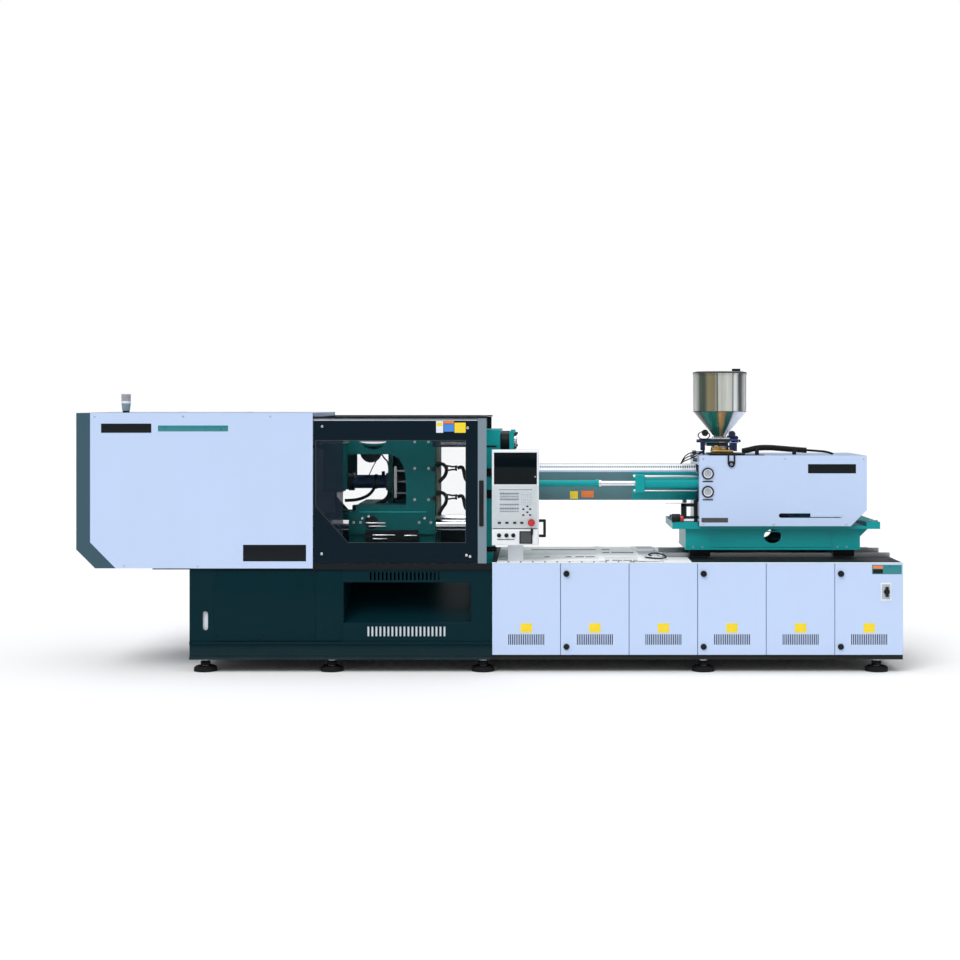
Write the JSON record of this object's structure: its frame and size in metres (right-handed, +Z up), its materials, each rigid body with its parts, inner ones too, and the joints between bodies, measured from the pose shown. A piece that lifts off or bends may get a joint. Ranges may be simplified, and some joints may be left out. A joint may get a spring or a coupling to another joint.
{
  "type": "injection moulding machine",
  "caption": "Horizontal injection moulding machine with toggle clamp, tie bars, sliding gates, control box, barrel, hopper and cabinet bed.",
  "frame": {"origin": "on the floor, under the middle of the machine's outline", "axes": "+X from the clamp to the injection end, +Z up, -Y is the operator's side"},
  "size_m": [7.01, 1.68, 2.592],
  "materials": {
    "white_paint": "powder coated, satin",
    "trim_paint": "powder coated, satin",
    "base_paint": "dark green-blue enamel",
    "teal_paint": "turquoise enamel over castings",
    "black_paint": "black enamel",
    "guard_paint": "blue-grey paint",
    "blue_paint": "blue enamel",
    "hard_chrome": "hard chromed, ground",
    "machined_steel": "machined",
    "stainless": "spun stainless, brushed",
    "sheet_zinc": "zinc-coated sheet",
    "smoked_sheet": "smoked polycarbonate",
    "box_paint": "light grey paint",
    "red_plastic": "moulded, gloss",
    "black_plastic": "moulded, satin",
    "foot_rubber": "moulded on a steel plate",
    "link_paint": "machined casting"
  },
  "bodies": {
    "machine": {"clamp_base": "base_paint", "slideways": "machined_steel", "levelling_feet": "foot_rubber", "fixed_platen": "teal_paint", "rear_platen": "teal_paint", "rear_pivot_pins": "machined_steel", "tie_bars": "hard_chrome", "tie_bar_nuts": "machined_steel", "clamp_cylinder": "blue_paint", "clamp_front_cover": "white_paint", "clamp_rear_cover": "white_paint", "clamp_end_cover": "trim_paint", "gate_frame": "black_paint", "injection_bed": "black_paint", "bed_covers": "sheet_zinc", "back_panels": "white_paint", "pump_motor": "blue_paint", "control_arm": "black_paint", "carriage_rails": "machined_steel", "pull_rods": "hard_chrome"},
    "moving_platen": {"moving_platen": "teal_paint", "platen_shoes": "teal_paint", "ejector_cylinder": "blue_paint"},
    "ejector": {"ejector": "machined_steel"},
    "crosshead": {"crosshead": "link_paint", "clamp_piston": "hard_chrome"},
    "upper_crosshead_link": {"upper_crosshead_links": "link_paint"},
    "lower_crosshead_link": {"lower_crosshead_links": "link_paint"},
    "upper_rear_link": {"upper_rear_links": "link_paint", "upper_elbow_pins": "machined_steel"},
    "lower_rear_link": {"lower_rear_links": "link_paint", "lower_elbow_pins": "machined_steel"},
    "upper_front_link": {"upper_front_links": "link_paint"},
    "lower_front_link": {"lower_front_links": "link_paint"},
    "front_gate": {"front_gate": "trim_paint", "front_gate_window": "smoked_sheet"},
    "rear_gate": {"rear_gate": "black_paint"},
    "control_box": {"control_box": "box_paint"},
    "emergency_button": {"emergency_button": "red_plastic"},
    "carriage": {"carriage_base": "teal_paint", "injection_cover": "white_paint", "barrel": "machined_steel", "barrel_guard": "guard_paint", "feed_throat": "machined_steel", "carriage_cylinders": "teal_paint", "hopper": "stainless"},
    "hopper_lid": {"hopper_lid": "stainless"},
    "hopper_shutoff": {"hopper_shutoff": "blue_paint"},
    "screw_drive": {"screw_drive": "blue_paint"},
    "screw": {"screw": "hard_chrome"},
    "door_1": {"door_1": "white_paint"},
    "door_2": {"door_2": "white_paint"},
    "door_lock_2": {"door_lock_2": "black_plastic"},
    "door_3": {"door_3": "white_paint"},
    "door_4": {"door_4": "white_paint"},
    "door_lock_4": {"door_lock_4": "black_plastic"},
    "door_5": {"door_5": "white_paint"},
    "door_6": {"door_6": "white_paint"},
    "door_lock_6": {"door_lock_6": "black_plastic"},
    "breaker_handle": {"breaker_handle": "black_plastic"}
  },
  "joints": [
    {"name": "platen_slide", "type": "slide", "parent": "machine", "child": "moving_platen", "axis": [1, 0, 0], "range_m": [-0.4861, 0]},
    {"name": "ejector_slide", "type": "slide", "parent": "moving_platen", "child": "ejector", "axis": [1, 0, 0], "range_m": [0, 0.1]},
    {"name": "crosshead_slide", "type": "slide", "parent": "machine", "child": "crosshead", "axis": [1, 0, 0], "range_m": [-0.2363, 0.001]},
    {"name": "upper_rear_hinge", "type": "hinge", "parent": "machine", "child": "upper_rear_link", "pos_m": [-2.14985, 0, 1.985], "axis": [0, 1, 0], "range_deg": [-0.5, 98.5]},
    {"name": "upper_elbow", "type": "hinge", "parent": "upper_rear_link", "child": "upper_front_link", "pos_m": [-1.81005, 0, 1.97313], "axis": [0, 1, 0], "range_deg": [-144.3, 0.5]},
    {"name": "upper_crosshead_hinge", "type": "hinge", "parent": "crosshead", "child": "upper_crosshead_link", "pos_m": [-1.72752, 0, 1.685], "axis": [0, 1, 0], "range_deg": [-34.5, 0.5]},
    {"name": "lower_rear_hinge", "type": "hinge", "parent": "machine", "child": "lower_rear_link", "pos_m": [-2.14985, 0, 1.185], "axis": [0, 1, 0], "range_deg": [-98.5, 0.5]},
    {"name": "lower_elbow", "type": "hinge", "parent": "lower_rear_link", "child": "lower_front_link", "pos_m": [-1.81005, 0, 1.19687], "axis": [0, 1, 0], "range_deg": [-0.5, 144.3]},
    {"name": "lower_crosshead_hinge", "type": "hinge", "parent": "crosshead", "child": "lower_crosshead_link", "pos_m": [-1.72752, 0, 1.485], "axis": [0, 1, 0], "range_deg": [-0.5, 34.5]},
    {"name": "front_gate_slide", "type": "slide", "parent": "machine", "child": "front_gate", "axis": [1, 0, 0], "range_m": [-1.3, 0]},
    {"name": "rear_gate_slide", "type": "slide", "parent": "machine", "child": "rear_gate", "axis": [1, 0, 0], "range_m": [-1.3, 0]},
    {"name": "door_1_hinge", "type": "hinge", "parent": "machine", "child": "door_1", "pos_m": [0.026, -0.794, 0.54], "axis": [0, 0, 1], "range_deg": [-85, 0]},
    {"name": "door_2_hinge", "type": "hinge", "parent": "machine", "child": "door_2", "pos_m": [1.17233, -0.794, 0.54], "axis": [0, 0, 1], "range_deg": [0, 85]},
    {"name": "door_lock_2_turn", "type": "hinge", "parent": "door_2", "child": "door_lock_2", "pos_m": [0.64917, -0.8, 0.84], "axis": [0, 1, 0], "range_deg": [0, 90]},
    {"name": "door_3_hinge", "type": "hinge", "parent": "machine", "child": "door_3", "pos_m": [1.18833, -0.794, 0.54], "axis": [0, 0, 1], "range_deg": [-85, 0]},
    {"name": "door_4_hinge", "type": "hinge", "parent": "machine", "child": "door_4", "pos_m": [2.33467, -0.794, 0.54], "axis": [0, 0, 1], "range_deg": [0, 85]},
    {"name": "door_lock_4_turn", "type": "hinge", "parent": "door_4", "child": "door_lock_4", "pos_m": [1.8115, -0.8, 0.84], "axis": [0, 1, 0], "range_deg": [0, 90]},
    {"name": "door_5_hinge", "type": "hinge", "parent": "machine", "child": "door_5", "pos_m": [2.35067, -0.794, 0.54], "axis": [0, 0, 1], "range_deg": [-85, 0]},
    {"name": "door_6_hinge", "type": "hinge", "parent": "machine", "child": "door_6", "pos_m": [3.497, -0.794, 0.54], "axis": [0, 0, 1], "range_deg": [0, 85]},
    {"name": "door_lock_6_turn", "type": "hinge", "parent": "door_6", "child": "door_lock_6", "pos_m": [2.97383, -0.8, 0.84], "axis": [0, 1, 0], "range_deg": [0, 90]},
    {"name": "breaker_turn", "type": "hinge", "parent": "door_6", "child": "breaker_handle", "pos_m": [3.362, -0.8, 0.688], "axis": [0, 1, 0], "range_deg": [0, 90]},
    {"name": "control_box_swivel", "type": "hinge", "parent": "machine", "child": "control_box", "pos_m": [0.216, -0.62, 1.5], "axis": [0, 0, 1], "range_deg": [0, 60]},
    {"name": "emergency_press", "type": "slide", "parent": "control_box", "child": "emergency_button", "axis": [0, 1, 0], "range_m": [0, 0.006], "stiffness_N_per_m": 800},
    {"name": "carriage_slide", "type": "slide", "parent": "machine", "child": "carriage", "axis": [1, 0, 0], "range_m": [-0.22, 0.1]},
    {"name": "screw_stroke", "type": "slide", "parent": "carriage", "child": "screw_drive", "axis": [1, 0, 0], "range_m": [0, 0.28]},
    {"name": "screw_spin", "type": "hinge", "parent": "screw_drive", "child": "screw", "pos_m": [2.35, 0, 1.585], "axis": [1, 0, 0], "continuous": true},
    {"name": "hopper_lid_hinge", "type": "hinge", "parent": "carriage", "child": "hopper_lid", "pos_m": [2.03, 0.248, 2.556], "axis": [1, 0, 0], "range_deg": [-100, 0]},
    {"name": "hopper_shutoff_slide", "type": "slide", "parent": "carriage", "child": "hopper_shutoff", "axis": [1, 0, 0], "range_m": [0, 0.085]}
  ],
  "couplings": [
    {"joint": "crosshead_slide", "follows": "platen_slide", "ratio": 0.48408},
    {"joint": "upper_rear_hinge", "follows": "platen_slide", "rad_per_m": -3.5185},
    {"joint": "upper_elbow", "follows": "platen_slide", "rad_per_m": 5.1624},
    {"joint": "upper_crosshead_hinge", "follows": "platen_slide", "rad_per_m": 1.2224},
    {"joint": "lower_rear_hinge", "follows": "platen_slide", "rad_per_m": 3.5185},
    {"joint": "lower_elbow", "follows": "platen_slide", "rad_per_m": -5.1624},
    {"joint": "lower_crosshead_hinge", "follows": "platen_slide", "rad_per_m": -1.2224}
  ]
}
